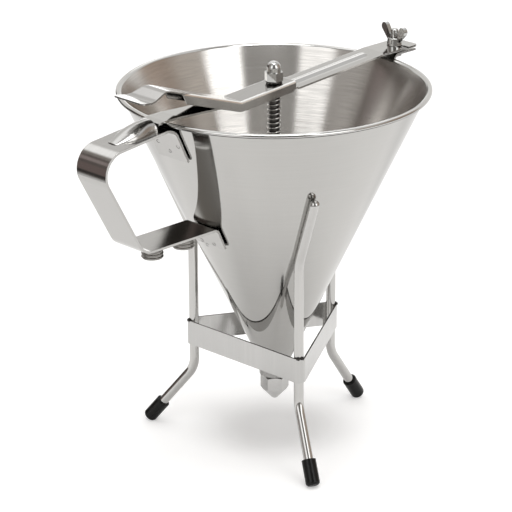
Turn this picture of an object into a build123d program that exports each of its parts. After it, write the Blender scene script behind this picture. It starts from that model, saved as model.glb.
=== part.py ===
from build123d import *
import math
import os

# Confectionery funnel on a wire stand, millimetres and degrees.
# The funnel's axis is Z, the floor is Z = 0, the handle points to -X and the wing nut stands at +X.

# Funnel cone and its rolled rim
RIM_Z = 228.0
RIM_R = 95.0
RIM_ROLL_R = 1.3
RIM_ROLL_Z = RIM_Z - 0.7
CONE_TOP_R = 92.6
CONE_BOTTOM_R = 9.4
CONE_BOTTOM_Z = 51.0
SHEET = 1.0
CONE_SLOPE = (CONE_TOP_R - CONE_BOTTOM_R) / (RIM_Z - CONE_BOTTOM_Z)
CONE_COS = math.cos(math.atan(CONE_SLOPE))

# Air between pieces that lie on each other, and between pieces that move past each other
SEAM = 0.05
MOVE_GAP = 0.3

# Outlet spout, its thread and the screwed nozzle
COLLAR_BOTTOM_Z = 41.6
COLLAR_BEVEL = (1.0, 0.9)
SPOUT_BOTTOM_Z = 33.4
SPOUT_BORE_R = 5.0
THREAD_R = 6.6
THREAD_ROOT_R = 6.0
THREAD_PITCH = 2.0
THREAD_FLAT = 0.3
THREAD_FLANK = 0.5
NOZZLE_AF = 15.2
NOZZLE_TURN = 17.0
NOZZLE_TOP_Z = 41.2
NOZZLE_BEVEL = 0.7
NOZZLE_SHOULDER = (8.9, 33.5)
NOZZLE_TIP = (1.9, 25.9)
NOZZLE_FLOOR_Z = 33.0
OUTLET_R = 1.5
OUTLET_TOP_Z = 28.6

# Wire stand
LEG_ANGLES = (2, 122, 242)
LEG_LEANS = (0, 0, 2.7)
FOOT_TURNS = (5, -10, 0)
FOOT_SPLAYS = (37, 39, 37)
LEG_R = 3.0
LEG_CIRCLE_R = 51.6
LEG_TOP_Z = 179.7
LEG_ROUND = 2.8
LEG_LOWER_BEND_Z = 41.5
LEG_LOWER_BEND_R = 18.0
LEG_UPPER_BEND_R = 22.0
FOOT_END_Z = 1.45
CAP_R = 4.4
CAP_LENGTH = 16.0
CAP_FLOOR = 3.2
CAP_ROUND = 2.0
BAND_BOTTOM_Z = 57.8
BAND_HEIGHT = 15.5
BAND_SHEET = 1.0

# Handle: one bent strap whose flat ends lie on the cone
STRAP = 1.5
STRAP_WIDTH = 25.0
STRAP_FALL = 6.1
STRAP_TOP_END = (-154.1, RIM_Z - 8.35)
STRAP_LOW_END = (-117.75, RIM_Z - 73.8)
STRAP_UPPER_TAB_Z = RIM_Z - 25.0
STRAP_LOWER_TAB_Z = RIM_Z - 87.0
STRAP_NECK_R = 10.0
STRAP_BEND_R = 13.9
STRAP_LOW_BEND_R = 12.0
STRAP_FOOT_R = 3.0

# Studs under the handle for spare nozzles
STUD_XS = (-100.2, -75.6)
STUD_RIDGES = 4
STUD_LENGTH = 8.5
STUD_NECK = 0.6

# Crossbar across the mouth: a tongue, a narrow run and a wide run
BAR = 1.2
BAR_FRONT_X = -109.5
BAR_SHOULDER_X = -100.0
BAR_DROP_X = -95.5
BAR_DROP = 8.0
BAR_BREAK_X = -84.0
BAR_LOW_X = -10.0
BAR_STEP_X = 12.0
BAR_LEVEL_X = 88.0
BAR_END_X = 117.0
BAR_TONGUE = 7.0
BAR_NARROW = 15.0
BAR_WIDE = 19.0
BAR_CORNER_R = 2.4
BAR_STEP_R = 0.9
BAR_FALL = 3.1
BAR_BEND_R = 12.0
BAR_FRONT_Z = RIM_ROLL_Z + RIM_ROLL_R + SEAM + BAR
BAR_LEVEL_Z = RIM_Z + 4.8
BAR_LOW_Z = BAR_FRONT_Z - (BAR_LOW_X - BAR_BREAK_X) * math.tan(math.radians(BAR_FALL))
RIB_START_X = 8.0
RIB_END_X = 81.5
RIB_R = 5.0
RIB_CREST = 1.5
RIB_SHEET = 1.0

# Pocket on the strap for the tongue of the crossbar: sections as distance, half width, height
POCKET_NOSE_X = -129.6
POCKET_SECTIONS = ((0.0, 3.3, 0.5), (5.0, 5.3, 1.7), (10.0, 7.4, 3.4), (16.0, 8.2, 5.2), (28.6, 7.7, 6.0))
POCKET_CAVITY = (7.0, 4.6)
POCKET_CAVITY_DEPTH = 10.0

# Rear bracket, clamping bolt and wing nut
BOLT_X = 105.5
BOLT_R = 2.4
BOLT_TOP_Z = RIM_Z + 15.4
BOLT_DOME = 1.4
BOLT_HEAD_AF = 8.0
BOLT_HEAD = 2.8
BRACKET = 1.2
BRACKET_WIDTH = 17.0
BRACKET_TOP_Z = RIM_Z + 2.2
BRACKET_BEND_X = 99.0
BRACKET_END_X = 116.0
BRACKET_LEAN_Z = RIM_Z - 10.0
BRACKET_TAB_Z = RIM_Z - 24.0
BRACKET_BEND_R = 3.0
CLAMP_SLOT = 6.4
WING_GAP = 0.2
WING_HUB_BASE_R = 4.8
WING_HUB_TOP_R = 4.2
WING_HUB = 4.8
WING_HUB_ROUND = 0.6
WING_SHEET = 2.6
WING_TIP = (8.7, 10.0)
WING_TIP_R = 2.7
WING_TURN = -9.0
WING_ROOT = (2.8, 2.8)
WING_ROOT_R = 1.8
WING_BORE_GAP = 0.06

# Thumb lever, a channel pressed from sheet, rocking on the crossbar
LEVER = 1.0
LEVER_WIDTH = 17.6
LEVER_FLANGE = 6.2
LEVER_EDGE_R = 1.6
LEVER_BEND_R = 1.3
LEVER_PIVOT_X = -34.8
LEVER_FRONT_RISE = 18.5
LEVER_REAR_RISE = 4.2
LEVER_HUMP_X = -94.5
LEVER_DIP = (-12.1, -3.9)
LEVER_TIP = (-10.6, 1.6)
LEVER_HUMP_R = 9.0
LEVER_DIP_R = 12.0
LEVER_FLANGE_X = -81.5
LEVER_END_X = 10.0
LEVER_CORNER_R = 4.0
LEVER_CUT = 5.2
THUMB_WIDTH = 26.0
THUMB_CORNER_R = 2.5
FULCRUM_GAP = 0.2
ROD_SLOT = (8.4, 6.6)
ROD_SLOT_X = 0.55

# Plunger
ROD_R = 3.0
ROD_TIP_GAP = 0.35
ROD_TIP_LIFT = 0.8
NUT_AF = 10.0
NUT_HEX = 5.2
NUT_HEIGHT = 11.8
NUT_DOME_R = 4.3
NUT_WALL = 2.5
WASHER_R = 5.0
WASHER = 1.0
WASHER_GAP = 0.2
ROD_HOLE_R = 3.25
SEAT_R = 6.0
SEAT_Z = RIM_Z - 57.2
PIN_R = 1.0
PIN_LENGTH = 11.0

# Return spring
WIRE = 1.1
COIL_R = 3.7
COIL_TURNS = 16.5
SPRING_END_GAP = 0.22
COIL_BEND = 1.7
COIL_TURN_IN = 0.07

os.makedirs("parts", exist_ok=True)


def export(piece, name):
    """Label one finished piece and write its file."""
    piece.label = name
    export_step(piece, f"parts/{name}.step")


def cone_r(height, outward=0.0):
    """Radius of the cone's outer face at a height, moved outward along its normal."""
    return CONE_BOTTOM_R + (height - CONE_BOTTOM_Z) * CONE_SLOPE + outward / CONE_COS


def around(angle, radius, height=0.0):
    """Point at an angle around the funnel's axis."""
    turn = math.radians(angle)
    return Vector(radius * math.cos(turn), radius * math.sin(turn), height)


def strip(points, radii, depth, side=Side.RIGHT):
    """Side view of bent sheet: one of its faces as a bent line, thickened to one side of it."""
    with BuildSketch(Plane.XZ) as side_view:
        with BuildLine():
            FilletPolyline(*points, radius=radii)
            offset(amount=depth, side=side)
        make_face()
    return side_view.sketch


def ridge_points(top, ridges):
    """Outline of a screw thread from its top downward, as radius and height."""
    points = []
    for ridge in range(ridges):
        start = top - ridge * THREAD_PITCH - THREAD_FLAT
        end = top - (ridge + 1) * THREAD_PITCH + THREAD_FLAT
        points.append((THREAD_ROOT_R, start))
        points.append((THREAD_R, start - THREAD_FLANK))
        points.append((THREAD_R, end + THREAD_FLANK))
        points.append((THREAD_ROOT_R, end))
    return points


def washer(radius, bore, bottom, thickness):
    """Flat ring around the funnel's axis."""
    with BuildPart() as ring:
        with BuildSketch(Plane.XY.offset(bottom)):
            Circle(radius)
            Circle(bore, mode=Mode.SUBTRACT)
        extrude(amount=thickness)
    return ring.part


# Funnel cone: sheet rolled over at the rim
with BuildPart() as funnel_cone:
    with BuildSketch(Plane.XZ):
        with BuildLine():
            inside = Line(
                (cone_r(CONE_BOTTOM_Z, -SHEET), CONE_BOTTOM_Z),
                (cone_r(RIM_ROLL_Z, -SHEET), RIM_ROLL_Z),
            )
            roll_x = RIM_R - RIM_ROLL_R
            lip = TangentArc(inside @ 1, (roll_x, RIM_ROLL_Z + RIM_ROLL_R), tangent=inside % 1)
            roll = ThreePointArc(lip @ 1, (RIM_R, RIM_ROLL_Z), (roll_x, RIM_ROLL_Z - RIM_ROLL_R))
            roll_bottom = RIM_ROLL_Z - RIM_ROLL_R
            Polyline(
                roll @ 1,
                (cone_r(roll_bottom), roll_bottom),
                (CONE_BOTTOM_R, CONE_BOTTOM_Z),
                inside @ 0,
            )
        make_face()
    revolve(axis=Axis.Z)
export(funnel_cone.part, "funnel_cone")

# Outlet spout: collar under the cone and the thread for a nozzle
with BuildPart() as outlet_spout:
    throat_z = CONE_BOTTOM_Z - (cone_r(CONE_BOTTOM_Z, -SHEET) - SPOUT_BORE_R) / CONE_SLOPE
    spout_ridges = int((COLLAR_BOTTOM_Z - SPOUT_BOTTOM_Z) / THREAD_PITCH)
    with BuildSketch(Plane.XZ):
        Polygon(
            (SPOUT_BORE_R, throat_z),
            (cone_r(CONE_BOTTOM_Z, -SHEET), CONE_BOTTOM_Z),
            (CONE_BOTTOM_R, CONE_BOTTOM_Z),
            (CONE_BOTTOM_R, COLLAR_BOTTOM_Z + COLLAR_BEVEL[1]),
            (CONE_BOTTOM_R - COLLAR_BEVEL[0], COLLAR_BOTTOM_Z),
            (THREAD_ROOT_R, COLLAR_BOTTOM_Z),
            *ridge_points(COLLAR_BOTTOM_Z, spout_ridges),
            (THREAD_ROOT_R, SPOUT_BOTTOM_Z),
            (SPOUT_BORE_R, SPOUT_BOTTOM_Z),
            align=None,
        )
    revolve(axis=Axis.Z)
export(outlet_spout.part, "outlet_spout")

# Nozzle: a six-sided cap with a conical tip, a seat inside and the outlet hole, screwed on the spout
with BuildPart() as nozzle:
    with BuildSketch(Plane.XY.offset(NOZZLE_TIP[1])):
        RegularPolygon(NOZZLE_AF / 2, side_count=6, major_radius=False, rotation=NOZZLE_TURN)
    extrude(amount=NOZZLE_TOP_Z - NOZZLE_TIP[1])
    with BuildSketch(Plane.XZ):
        Polygon(
            (0, NOZZLE_TIP[1]),
            NOZZLE_TIP,
            NOZZLE_SHOULDER,
            (NOZZLE_SHOULDER[0], NOZZLE_TOP_Z - NOZZLE_BEVEL),
            (NOZZLE_AF / 2, NOZZLE_TOP_Z),
            (0, NOZZLE_TOP_Z),
            align=None,
        )
    revolve(axis=Axis.Z, mode=Mode.INTERSECT)
    nozzle_bore = THREAD_R + MOVE_GAP
    with BuildSketch(Plane.XZ):
        Polygon(
            (0, NOZZLE_TIP[1]),
            (OUTLET_R, NOZZLE_TIP[1]),
            (OUTLET_R, OUTLET_TOP_Z),
            (SPOUT_BORE_R, NOZZLE_FLOOR_Z),
            (nozzle_bore, NOZZLE_FLOOR_Z),
            (nozzle_bore, NOZZLE_TOP_Z),
            (0, NOZZLE_TOP_Z),
            align=None,
        )
    revolve(axis=Axis.Z, mode=Mode.SUBTRACT)
export(nozzle.part, "nozzle")

# Stand: three bent rods with push-on feet
rest_r = LEG_R + MOVE_GAP
upper_bend_z = CONE_BOTTOM_Z + (LEG_CIRCLE_R - cone_r(CONE_BOTTOM_Z, rest_r)) / CONE_SLOPE
leg_bends = zip(LEG_ANGLES, LEG_LEANS, FOOT_TURNS, FOOT_SPLAYS)
for number, (angle, lean, turn, splay) in enumerate(leg_bends, start=1):
    lower_bend = around(angle, LEG_CIRCLE_R, LEG_LOWER_BEND_Z)
    upper_bend = around(angle, LEG_CIRCLE_R, upper_bend_z)
    leg_top = around(angle + lean, cone_r(LEG_TOP_Z, rest_r), LEG_TOP_Z)
    foot_reach = (LEG_LOWER_BEND_Z - FOOT_END_Z) * math.tan(math.radians(splay))
    foot_end = around(angle, LEG_CIRCLE_R, FOOT_END_Z) + around(angle + turn, foot_reach)
    up_the_leg = (lower_bend - foot_end).normalized()
    rod_end = foot_end + up_the_leg * CAP_FLOOR
    with BuildPart() as leg:
        with BuildLine() as leg_line:
            bend_radii = [LEG_LOWER_BEND_R, LEG_UPPER_BEND_R]
            FilletPolyline(rod_end, lower_bend, upper_bend, leg_top, radius=bend_radii)
        with BuildSketch(Plane(origin=rod_end, z_dir=up_the_leg)):
            Circle(LEG_R)
        sweep(path=leg_line.wire())
        fillet(leg.edges().filter_by(GeomType.CIRCLE).sort_by(Axis.Z)[-1], radius=LEG_ROUND)
    export(leg.part, f"leg_{number}")

    with BuildPart() as foot_cap:
        with BuildSketch(Plane(origin=foot_end, z_dir=up_the_leg)):
            Circle(CAP_R)
        extrude(amount=CAP_LENGTH)
        fillet(foot_cap.edges().filter_by(GeomType.CIRCLE).sort_by(Axis.Z)[0], radius=CAP_ROUND)
        with BuildSketch(Plane(origin=rod_end - up_the_leg * SEAM, z_dir=up_the_leg)):
            Circle(LEG_R + SEAM)
        extrude(amount=CAP_LENGTH, mode=Mode.SUBTRACT)
        split(bisect_by=Plane.XY, keep=Keep.TOP)
    export(foot_cap.part, f"foot_cap_{number}")

# Stand: band of sheet bent around the three legs
with BuildPart() as stand_band:
    with BuildSketch(Plane.XY.offset(BAND_BOTTOM_Z)):
        RegularPolygon(LEG_CIRCLE_R, side_count=3, rotation=LEG_ANGLES[0])
        offset(amount=LEG_R + SEAM + BAND_SHEET)
    extrude(amount=BAND_HEIGHT)
    with BuildSketch(Plane.XY.offset(BAND_BOTTOM_Z)):
        RegularPolygon(LEG_CIRCLE_R, side_count=3, rotation=LEG_ANGLES[0])
        offset(amount=LEG_R + SEAM)
    extrude(amount=BAND_HEIGHT, mode=Mode.SUBTRACT)
export(stand_band.part, "stand_band")

# Handle: one strap bent into a loop, its two ends flat on the cone
strap_slope = math.tan(math.radians(STRAP_FALL))


def strap_top(x):
    """Height of the upper strap's top face."""
    return STRAP_TOP_END[1] + (x - STRAP_TOP_END[0]) * strap_slope


neck_x = -cone_r(strap_top(0), SEAM) / (1 + CONE_SLOPE * strap_slope)
strap_view = strip(
    [
        (-cone_r(STRAP_UPPER_TAB_Z, SEAM), STRAP_UPPER_TAB_Z),
        (neck_x, strap_top(neck_x)),
        STRAP_TOP_END,
        STRAP_LOW_END,
        (-cone_r(STRAP_LOW_END[1], SEAM + STRAP), STRAP_LOW_END[1]),
        (-cone_r(STRAP_LOWER_TAB_Z, SEAM + STRAP), STRAP_LOWER_TAB_Z),
    ],
    [STRAP_NECK_R, STRAP_BEND_R, STRAP_LOW_BEND_R, STRAP_FOOT_R],
    STRAP,
    Side.LEFT,
)
with BuildPart() as handle:
    extrude(strap_view, amount=STRAP_WIDTH / 2, both=True)
export(handle.part, "handle")

# Studs under the handle, threaded like the spout, to keep spare nozzles on
for number, stud_x in enumerate(STUD_XS, start=1):
    stud_top = STRAP_LOW_END[1] - SEAM
    with BuildPart() as nozzle_stud:
        with BuildSketch(Plane.XZ):
            Polygon(
                (0, stud_top),
                (THREAD_ROOT_R, stud_top),
                *ridge_points(stud_top - STUD_NECK, STUD_RIDGES),
                (THREAD_ROOT_R, stud_top - STUD_LENGTH),
                (0, stud_top - STUD_LENGTH),
                align=None,
            )
        revolve(axis=Axis.Z)
    export(nozzle_stud.part.moved(Location((stud_x, 0, 0))), f"nozzle_stud_{number}")

# Crossbar: a bent bar with a pressed rib, its front end in the pocket, its rear end under the wing nut
rise = math.atan((BAR_LEVEL_Z - BAR_LOW_Z) / (BAR_LEVEL_X - BAR_LOW_X))


def bar_top(x):
    """Height of the crossbar's top face, from its front break to its level end."""
    if x < BAR_LOW_X:
        return BAR_FRONT_Z - (x - BAR_BREAK_X) * math.tan(math.radians(BAR_FALL))
    return BAR_LOW_Z + (x - BAR_LOW_X) * math.tan(rise)


def rib_form(radius):
    """Round-ended bar along the rib, sunk into the crossbar's rising run."""
    with BuildPart() as form:
        for end_x in (RIB_START_X + RIB_R, RIB_END_X - RIB_R):
            with Locations((end_x, 0, bar_top(end_x) - RIB_R + RIB_CREST)):
                Sphere(radius)
        middle_x = (RIB_START_X + RIB_END_X) / 2
        length = (RIB_END_X - RIB_START_X - 2 * RIB_R) / math.cos(rise)
        lying = (0, 90 - math.degrees(rise), 0)
        with Locations(Location((middle_x, 0, bar_top(middle_x) - RIB_R + RIB_CREST), lying)):
            Cylinder(radius, length)
    return form.part


rising_face = Plane(
    origin=(BAR_LOW_X, 0, BAR_LOW_Z - BAR / 2),
    x_dir=(math.cos(rise), 0, math.sin(rise)),
    z_dir=(-math.sin(rise), 0, math.cos(rise)),
)
with BuildPart() as rib:
    add(rib_form(RIB_R))
    split(bisect_by=rising_face, keep=Keep.TOP)

bar_view = strip(
    [
        (BAR_FRONT_X, BAR_FRONT_Z - (BAR_DROP_X - BAR_FRONT_X) * math.tan(math.radians(BAR_DROP))),
        (BAR_DROP_X, BAR_FRONT_Z),
        (BAR_BREAK_X, BAR_FRONT_Z),
        (BAR_LOW_X, BAR_LOW_Z),
        (BAR_LEVEL_X, BAR_LEVEL_Z),
        (BAR_END_X, BAR_LEVEL_Z),
    ],
    BAR_BEND_R,
    BAR,
)
bar_runs = [
    (BAR_FRONT_X, BAR_SHOULDER_X, BAR_TONGUE),
    (BAR_SHOULDER_X, BAR_STEP_X, BAR_NARROW),
    (BAR_STEP_X, BAR_END_X, BAR_WIDE),
]
bar_corners = [
    (BAR_FRONT_X, BAR_CORNER_R),
    (BAR_SHOULDER_X, BAR_STEP_R),
    (BAR_STEP_X, BAR_STEP_R),
    (BAR_END_X, BAR_CORNER_R),
]
with BuildSketch() as bar_plan:
    for start_x, end_x, width in bar_runs:
        with Locations(((start_x + end_x) / 2, 0)):
            Rectangle(end_x - start_x, width)
    for corner_x, radius in bar_corners:
        corners = bar_plan.vertices().filter_by_position(Axis.X, corner_x - SEAM, corner_x + SEAM)
        fillet(corners, radius=radius)
    with Locations((BOLT_X, 0)):
        Circle(CLAMP_SLOT / 2, mode=Mode.SUBTRACT)
    with Locations((BOLT_X, -BAR_WIDE / 2)):
        Rectangle(CLAMP_SLOT, BAR_WIDE, mode=Mode.SUBTRACT)
    Circle(ROD_HOLE_R, mode=Mode.SUBTRACT)
with BuildPart() as crossbar:
    extrude(bar_view, amount=BAR_WIDE, both=True)
    extrude(bar_plan.sketch, amount=2 * RIM_Z, mode=Mode.INTERSECT)
    add(rib.part)
    add(rib_form(RIB_R - RIB_SHEET), mode=Mode.SUBTRACT)
export(crossbar.part, "crossbar")

# Pocket: a round hood on the handle strap, closed at its nose and open towards the funnel
strap_way = Vector(math.cos(math.radians(STRAP_FALL)), 0, math.sin(math.radians(STRAP_FALL)))
nose = Vector(POCKET_NOSE_X, 0, strap_top(POCKET_NOSE_X) + SEAM)


def arch(distance, half_width, height):
    """Upright half ellipse across the strap, at a distance from the pocket's nose."""
    across = Plane(origin=nose + strap_way * distance, x_dir=(0, 1, 0), z_dir=strap_way)
    with BuildSketch(across) as face:
        Ellipse(half_width, height)
        with Locations((0, -height)):
            Rectangle(2 * half_width, 2 * height, mode=Mode.SUBTRACT)
    return face.sketch.face()


pocket_length = POCKET_SECTIONS[-1][0]
with BuildPart() as bridge_pocket:
    loft([arch(*section) for section in POCKET_SECTIONS])
    extrude(arch(pocket_length, *POCKET_CAVITY), amount=-POCKET_CAVITY_DEPTH, mode=Mode.SUBTRACT)
export(bridge_pocket.part, "bridge_pocket")

# Rear bracket: a bent lug, flat on the cone below the rim
bracket_view = strip(
    [
        (cone_r(BRACKET_TAB_Z, SEAM), BRACKET_TAB_Z),
        (cone_r(BRACKET_LEAN_Z, SEAM), BRACKET_LEAN_Z),
        (BRACKET_BEND_X, BRACKET_TOP_Z),
        (BRACKET_END_X, BRACKET_TOP_Z),
    ],
    BRACKET_BEND_R,
    BRACKET,
)
with BuildPart() as rear_bracket:
    extrude(bracket_view, amount=BRACKET_WIDTH / 2, both=True)
    with Locations((BOLT_X, 0, BRACKET_TOP_Z)):
        Hole(BOLT_R + SEAM)
export(rear_bracket.part, "rear_bracket")

# Clamping bolt, head down, and the nut that the crossbar rests on
bracket_bottom = BRACKET_TOP_Z - BRACKET
with BuildPart() as bridge_bolt:
    with BuildSketch(Plane.XY.offset(bracket_bottom - SEAM)):
        with Locations((BOLT_X, 0)):
            RegularPolygon(BOLT_HEAD_AF / 2, side_count=6, major_radius=False)
    extrude(amount=-BOLT_HEAD)
    with BuildSketch(Plane.XY.offset(bracket_bottom - SEAM)):
        with Locations((BOLT_X, 0)):
            Circle(BOLT_R)
    extrude(amount=BOLT_TOP_Z - bracket_bottom + SEAM)
    fillet(bridge_bolt.edges().sort_by(Axis.Z)[-1], radius=BOLT_DOME)
export(bridge_bolt.part, "bridge_bolt")

bar_end_bottom = BAR_LEVEL_Z - BAR
with BuildPart() as bolt_nut:
    with BuildSketch(Plane.XY.offset(BRACKET_TOP_Z + SEAM)):
        with Locations((BOLT_X, 0)):
            RegularPolygon(BOLT_HEAD_AF / 2, side_count=6, major_radius=False)
            Circle(BOLT_R + SEAM, mode=Mode.SUBTRACT)
    extrude(amount=bar_end_bottom - BRACKET_TOP_Z - 2 * SEAM)
export(bolt_nut.part, "bolt_nut")

# Wing nut: a tapered hub and two ears
wing_bottom = BAR_LEVEL_Z + WING_GAP
bolt_axis = Axis((BOLT_X, 0, 0), (0, 0, 1))
with BuildPart() as wing_nut:
    with BuildSketch(Plane.XZ):
        Polygon(
            (BOLT_X, wing_bottom),
            (BOLT_X + WING_HUB_BASE_R, wing_bottom),
            (BOLT_X + WING_HUB_TOP_R, wing_bottom + WING_HUB),
            (BOLT_X, wing_bottom + WING_HUB),
            align=None,
        )
    revolve(axis=bolt_axis)
    fillet(wing_nut.edges().group_by(Axis.Z)[-1], radius=WING_HUB_ROUND)
    ear_plane = Plane(origin=(BOLT_X, 0, 0), x_dir=around(90 + WING_TURN, 1), z_dir=around(WING_TURN, 1))
    with BuildSketch(ear_plane):
        for side in (-1, 1):
            with BuildSketch(mode=Mode.PRIVATE) as ear:
                with Locations((side * WING_TIP[0], wing_bottom + WING_TIP[1])):
                    Circle(WING_TIP_R)
                with Locations((side * WING_ROOT[0], wing_bottom + WING_ROOT[1])):
                    Circle(WING_ROOT_R)
                make_hull()
            add(ear.sketch)
    extrude(amount=WING_SHEET / 2, both=True)
    with Locations((BOLT_X, 0, wing_bottom + WING_HUB)):
        Hole(BOLT_R + WING_BORE_GAP)
export(wing_nut.part, "wing_nut")

# Thumb lever: the bend's centre is the pivot, a small gap above the crossbar
outer_bend_r = LEVER_BEND_R + LEVER
half_turn = math.radians((LEVER_FRONT_RISE + LEVER_REAR_RISE) / 2)
lean = math.radians((LEVER_FRONT_RISE - LEVER_REAR_RISE) / 2)
pivot_z = bar_top(LEVER_PIVOT_X) + (outer_bend_r + FULCRUM_GAP) / math.cos(math.radians(BAR_FALL))
bend_depth = LEVER_BEND_R / math.cos(half_turn)
bend_point = (LEVER_PIVOT_X - bend_depth * math.sin(lean), pivot_z - bend_depth * math.cos(lean))


def lever_top(x):
    """Height of the lever's top face along its two straight runs."""
    run = x - bend_point[0]
    slope = LEVER_REAR_RISE if run > 0 else LEVER_FRONT_RISE
    return bend_point[1] + abs(run) * math.tan(math.radians(slope))


def channel(start_x, end_x, depth):
    """Side view along the lever's two straight runs, from its top face down."""
    ends = [(start_x, lever_top(start_x)), bend_point, (end_x, lever_top(end_x))]
    return strip(ends, LEVER_BEND_R, depth)


hump = (LEVER_HUMP_X, lever_top(LEVER_HUMP_X))
dip = (hump[0] + LEVER_DIP[0], hump[1] + LEVER_DIP[1])
tip = (dip[0] + LEVER_TIP[0], dip[1] + LEVER_TIP[1])
thumb_end = (LEVER_FLANGE_X + LEVER_FLANGE, lever_top(LEVER_FLANGE_X + LEVER_FLANGE))
thumb_view = strip([tip, dip, hump, thumb_end], [LEVER_DIP_R, LEVER_HUMP_R], LEVER)
inner_half = LEVER_WIDTH / 2 - LEVER
with BuildSketch() as thumb_plan:
    Polygon(
        (tip[0], -THUMB_WIDTH / 2),
        (LEVER_HUMP_X, -LEVER_WIDTH / 2),
        (LEVER_FLANGE_X, -LEVER_WIDTH / 2),
        (thumb_end[0], -inner_half),
        (thumb_end[0], inner_half),
        (LEVER_FLANGE_X, LEVER_WIDTH / 2),
        (LEVER_HUMP_X, LEVER_WIDTH / 2),
        (tip[0], THUMB_WIDTH / 2),
        align=None,
    )
    fillet(thumb_plan.vertices().group_by(Axis.X)[0], radius=THUMB_CORNER_R)
with BuildPart() as thumb_plate:
    extrude(thumb_view, amount=THUMB_WIDTH, both=True)
    extrude(thumb_plan.sketch, amount=2 * RIM_Z, mode=Mode.INTERSECT)

with BuildPart() as thumb_lever:
    extrude(channel(LEVER_FLANGE_X, LEVER_END_X, LEVER_FLANGE), amount=LEVER_WIDTH / 2, both=True)
    upper_faces = thumb_lever.faces().filter_by(lambda face: face.normal_at().Z > 0.5)
    side_edges = upper_faces.edges().filter_by(lambda edge: abs(edge.center().Y) > inner_half)
    fillet(side_edges, radius=LEVER_EDGE_R)
    cross_edges = thumb_lever.edges().filter_by(Axis.Y)
    chamfer(cross_edges.group_by(Axis.X)[0].sort_by(Axis.Z)[0], length=LEVER_CUT)
    fillet(cross_edges.group_by(Axis.X)[-1].sort_by(Axis.Z)[0], radius=LEVER_CORNER_R)
    inside = channel(LEVER_FLANGE_X - LEVER_FLANGE, LEVER_END_X + LEVER_FLANGE, 2 * LEVER_FLANGE)
    web = channel(LEVER_FLANGE_X - LEVER_FLANGE, LEVER_END_X + LEVER_FLANGE, LEVER)
    with BuildSketch(Plane.XZ):
        add(Plane.XZ.to_local_coords(inside))
        add(Plane.XZ.to_local_coords(web), mode=Mode.SUBTRACT)
    extrude(amount=inner_half, both=True, mode=Mode.SUBTRACT)
    add(thumb_plate.part)
    with BuildSketch(Plane.XY.offset(RIM_Z)):
        with Locations((ROD_SLOT_X, 0)):
            SlotOverall(*ROD_SLOT)
    extrude(amount=2 * LEVER_FLANGE, mode=Mode.SUBTRACT)
export(thumb_lever.part, "thumb_lever")

# Plunger rod: its cone stands just clear of the nozzle's seat
seat_slope = (SPOUT_BORE_R - OUTLET_R) / (NOZZLE_FLOOR_Z - OUTLET_TOP_Z)
seat_gap = ROD_TIP_GAP / math.cos(math.atan(seat_slope))
rod_tip_z = OUTLET_TOP_Z + ROD_TIP_LIFT
rod_tip_r = OUTLET_R + ROD_TIP_LIFT * seat_slope - seat_gap
rod_cone_z = rod_tip_z + (ROD_R - rod_tip_r) / seat_slope
washer_bottom = lever_top(WASHER_R) + WASHER_GAP
nut_bottom = washer_bottom + WASHER + SEAM
rod_top = nut_bottom + NUT_HEIGHT - NUT_WALL
pin_z = SEAT_Z - PIN_R - SEAM
with BuildPart() as plunger_rod:
    with BuildSketch(Plane.XZ):
        Polygon(
            (0, rod_tip_z),
            (rod_tip_r, rod_tip_z),
            (ROD_R, rod_cone_z),
            (ROD_R, rod_top),
            (0, rod_top),
            align=None,
        )
    revolve(axis=Axis.Z)
    with Locations(Location((0, 0, pin_z), (90, 0, 0))):
        Cylinder(PIN_R + SEAM, PIN_LENGTH, mode=Mode.SUBTRACT)
export(plunger_rod.part, "plunger_rod")

# Acorn nut and washer on top of the lever
export(washer(WASHER_R, ROD_R + SEAM, washer_bottom, WASHER), "nut_washer")
with BuildPart() as acorn_nut:
    with BuildSketch(Plane.XY.offset(nut_bottom)):
        RegularPolygon(NUT_AF / 2, side_count=6, major_radius=False)
    extrude(amount=NUT_HEX)
    with BuildSketch(Plane.XY.offset(nut_bottom)):
        Circle(NUT_DOME_R)
    extrude(amount=NUT_HEIGHT - NUT_DOME_R)
    with Locations((0, 0, nut_bottom + NUT_HEIGHT - NUT_DOME_R)):
        Sphere(NUT_DOME_R)
    with BuildSketch(Plane.XY.offset(nut_bottom)):
        Circle(ROD_R + SEAM)
    extrude(amount=rod_top + SEAM - nut_bottom, mode=Mode.SUBTRACT)
export(acorn_nut.part, "acorn_nut")

# Spring seat and the pin that carries it
export(washer(SEAT_R, ROD_R + SEAM, SEAT_Z, WASHER), "spring_seat")
with BuildPart() as spring_pin:
    with Locations(Location((0, 0, pin_z), (90, 0, 0))):
        Cylinder(PIN_R, PIN_LENGTH)
export(spring_pin.part, "spring_pin")

# Return spring: one wire, straight at both ends, its turns as pairs of tangent arcs
spring_top = bar_top(0) - BAR / math.cos(rise) - SPRING_END_GAP
spring_bottom = SEAT_Z + WASHER + SPRING_END_GAP
coil_top = spring_top - WIRE - COIL_BEND
coil_pitch = (coil_top - spring_bottom - WIRE - COIL_BEND) / COIL_TURNS


def coil_point(turns, height):
    """Point on the coil's middle cylinder."""
    angle = 2 * math.pi * turns
    return Vector(COIL_R * math.sin(angle), COIL_R * math.cos(angle), height)


def coil_way(turns):
    """Direction of the wire along the coil."""
    angle = 2 * math.pi * turns
    along = Vector(COIL_R * math.cos(angle), -COIL_R * math.sin(angle), -coil_pitch / (2 * math.pi))
    return along.normalized()


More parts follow.
